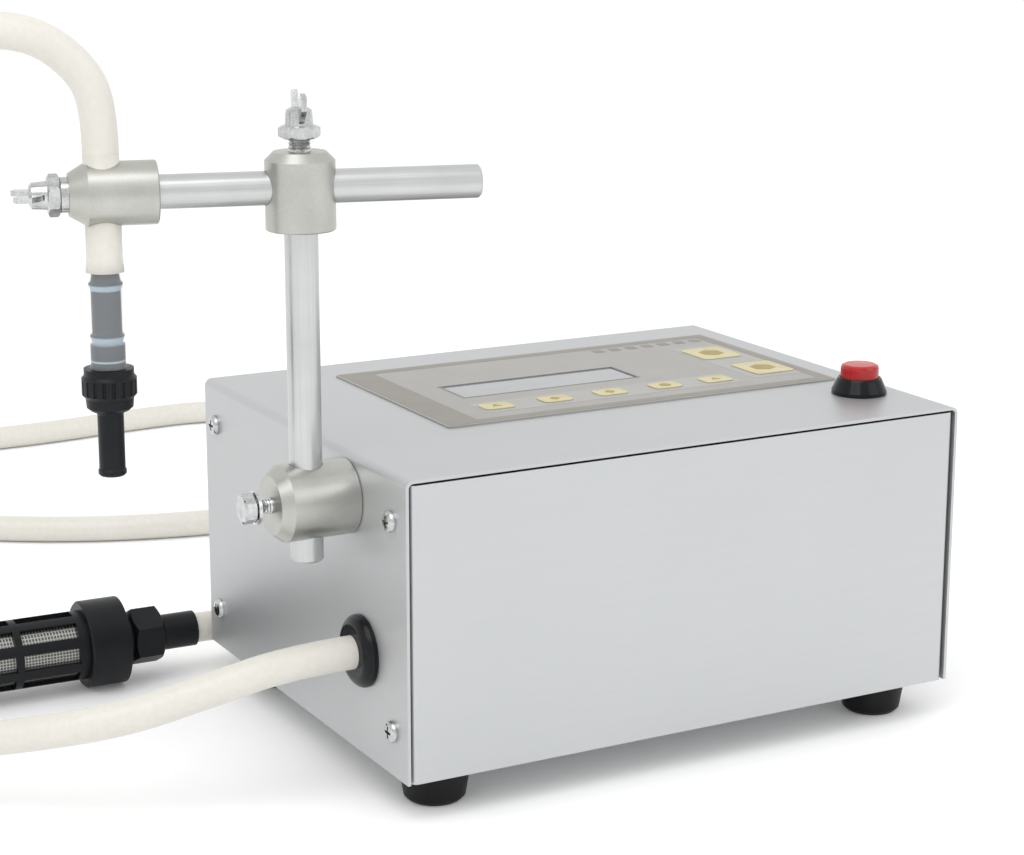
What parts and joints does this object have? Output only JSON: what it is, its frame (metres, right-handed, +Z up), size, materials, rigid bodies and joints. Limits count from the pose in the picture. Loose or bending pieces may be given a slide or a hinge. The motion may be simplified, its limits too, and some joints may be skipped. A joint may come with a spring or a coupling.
{
  "type": "piston liquid filler",
  "caption": "Bench-top piston filling machine: sheet-metal case with keypad, side clamp stand holding the filling nozzle, outlet hose, and suction hose with strainer.",
  "frame": {"origin": "middle of the footprint of the case and its clamp stand, at table level; the free hoses and the strainer aren't counted", "axes": "+Z up, -Y towards the user, -X towards the clamp stand, +X towards the fill button"},
  "size_m": [0.4788, 0.6194, 0.2867],
  "materials": {
    "aluminium": "satin",
    "black_plastic": "moulded",
    "blue_grey_plastic": "moulded",
    "board": "solder mask",
    "brass": "turned",
    "cast_aluminium": "bead blasted",
    "display": "LCD",
    "motor_black": "satin",
    "overlay": "satin film",
    "ptfe": "machined",
    "red_plastic": "moulded",
    "rubber": "matt",
    "screws": "bright zinc",
    "silicone": "translucent silicone",
    "stainless": "brushed sheet",
    "steel": "ground",
    "supply": "wound parts"
  },
  "bodies": {
    "case": {"chassis": "stainless", "cover": "stainless", "cover_screws": "screws", "feet": "rubber", "foot_screws": "screws", "hose_grommet": "rubber", "suction_grommet": "rubber", "keypad_overlay": "overlay", "display_module": "display", "control_board": "board", "board_spacers": "brass", "button_bezel": "black_plastic", "button_nut": "black_plastic", "button_spring": "steel", "power_inlet": "black_plastic", "switch_housing": "black_plastic", "pedal_socket": "screws", "power_supply": "supply", "pump_motor": "motor_black", "motor_plate": "aluminium", "guide_rods": "steel", "cylinder": "steel", "cylinder_plate": "aluminium", "valve_head": "steel", "inlet_elbow": "steel", "outlet_elbow": "steel", "plate_screws": "screws", "base_block": "cast_aluminium", "block_fixing_screw": "screws", "pump_outlet_hose": "silicone", "pump_inlet_hose": "silicone", "outlet_hose": "silicone", "outlet_hose_loop": "silicone", "suction_hose": "silicone", "strainer_head": "black_plastic", "strainer_cage": "black_plastic", "strainer_mesh": "steel"},
    "button": {"button_cap": "red_plastic"},
    "switch": {"switch_rocker": "black_plastic"},
    "piston": {"carriage": "aluminium", "piston_rod": "steel", "piston": "steel", "piston_seal": "ptfe"},
    "screw": {"lead_screw": "steel"},
    "inlet_valve": {"inlet_ball": "steel"},
    "outlet_valve": {"outlet_ball": "steel"},
    "bolt_washer": {"base_bolt_washer": "screws"},
    "bolt": {"base_bolt": "screws"},
    "mast": {"mast": "aluminium"},
    "cross": {"cross_block": "cast_aluminium"},
    "cross_nut": {"cross_lock_nut": "screws"},
    "cross_screw": {"cross_wing_screw": "screws"},
    "arm": {"arm": "aluminium"},
    "nozzle_holder": {"nozzle_block": "cast_aluminium"},
    "holder_nut": {"nozzle_lock_nut": "screws"},
    "holder_screw": {"nozzle_wing_screw": "screws"},
    "nozzle": {"nozzle_hose": "silicone", "nozzle_barb": "blue_grey_plastic", "nozzle_nut": "black_plastic", "nozzle_tip": "black_plastic"}
  },
  "joints": [
    {"name": "mast_height", "type": "slide", "parent": "case", "child": "mast", "axis": [0, 0, 1], "range_m": [-0.018, 0.008]},
    {"name": "arm_swing", "type": "hinge", "parent": "mast", "child": "cross", "pos_m": [-0.08004, -0.0468, 0.224], "axis": [0, 0, 1], "range_deg": [-40, 45]},
    {"name": "arm_reach", "type": "slide", "parent": "cross", "child": "arm", "axis": [-0.9703, 0.2419, 0], "range_m": [-0.03, 0.03]},
    {"name": "nozzle_tilt", "type": "hinge", "parent": "arm", "child": "nozzle_holder", "pos_m": [-0.14311, -0.03108, 0.224], "axis": [-0.9703, 0.2419, 0], "range_deg": [-20, 20]},
    {"name": "nozzle_height", "type": "slide", "parent": "nozzle_holder", "child": "nozzle", "axis": [0, 0, 1], "range_m": [-0.008, 0.01], "deforming": ["outlet_hose_loop"]},
    {"name": "cross_nut_travel", "type": "slide", "parent": "cross", "child": "cross_nut", "axis": [0, 0, 1], "range_m": [0, 0.0019]},
    {"name": "cross_screw_turn", "type": "hinge", "parent": "cross_nut", "child": "cross_screw", "pos_m": [-0.08004, -0.0468, 0.24], "axis": [0, 0, 1], "range_deg": [-1, 549]},
    {"name": "nozzle_nut_travel", "type": "slide", "parent": "nozzle_holder", "child": "holder_nut", "axis": [-0.9703, 0.2419, 0], "range_m": [0, 0.0019]},
    {"name": "nozzle_screw_turn", "type": "hinge", "parent": "holder_nut", "child": "holder_screw", "pos_m": [-0.16251, -0.02624, 0.224], "axis": [-0.9703, 0.2419, 0], "range_deg": [-1, 549]},
    {"name": "base_washer_travel", "type": "slide", "parent": "case", "child": "bolt_washer", "axis": [-1, 0, 0], "range_m": [0, 0.00155]},
    {"name": "base_bolt_turn", "type": "hinge", "parent": "bolt_washer", "child": "bolt", "pos_m": [-0.10004, -0.0468, 0.1107], "axis": [-1, 0, 0], "range_deg": [-1, 560]},
    {"name": "fill_button", "type": "slide", "parent": "case", "child": "button", "axis": [0, 0, -1], "range_m": [0, 0.003], "stiffness_N_per_m": 300, "springref_m": -0.002, "deforming": ["button_spring"]},
    {"name": "power_rocker", "type": "hinge", "parent": "case", "child": "switch", "pos_m": [-0.02204, 0.0903, 0.094], "axis": [0, 0, -1], "range_deg": [0, 18]},
    {"name": "piston_stroke", "type": "slide", "parent": "case", "child": "piston", "axis": [1, 0, 0], "range_m": [0, 0.036]},
    {"name": "pump_screw_turn", "type": "hinge", "parent": "case", "child": "screw", "pos_m": [0.05596, 0.0197, 0.0602], "axis": [1, 0, 0], "range_deg": [-1, 1621]},
    {"name": "inlet_ball_lift", "type": "slide", "parent": "case", "child": "inlet_valve", "axis": [0, 0, 1], "range_m": [0, 0.0025]},
    {"name": "outlet_ball_lift", "type": "slide", "parent": "case", "child": "outlet_valve", "axis": [0, 0, 1], "range_m": [0, 0.0025]}
  ],
  "couplings": [
    {"joint": "pump_screw_turn", "follows": "piston_stroke", "rad_per_m": 785.4},
    {"joint": "cross_screw_turn", "follows": "cross_nut_travel", "rad_per_m": 5026.5},
    {"joint": "nozzle_screw_turn", "follows": "nozzle_nut_travel", "rad_per_m": 5026.5},
    {"joint": "base_bolt_turn", "follows": "base_washer_travel", "rad_per_m": 6283.2}
  ]
}
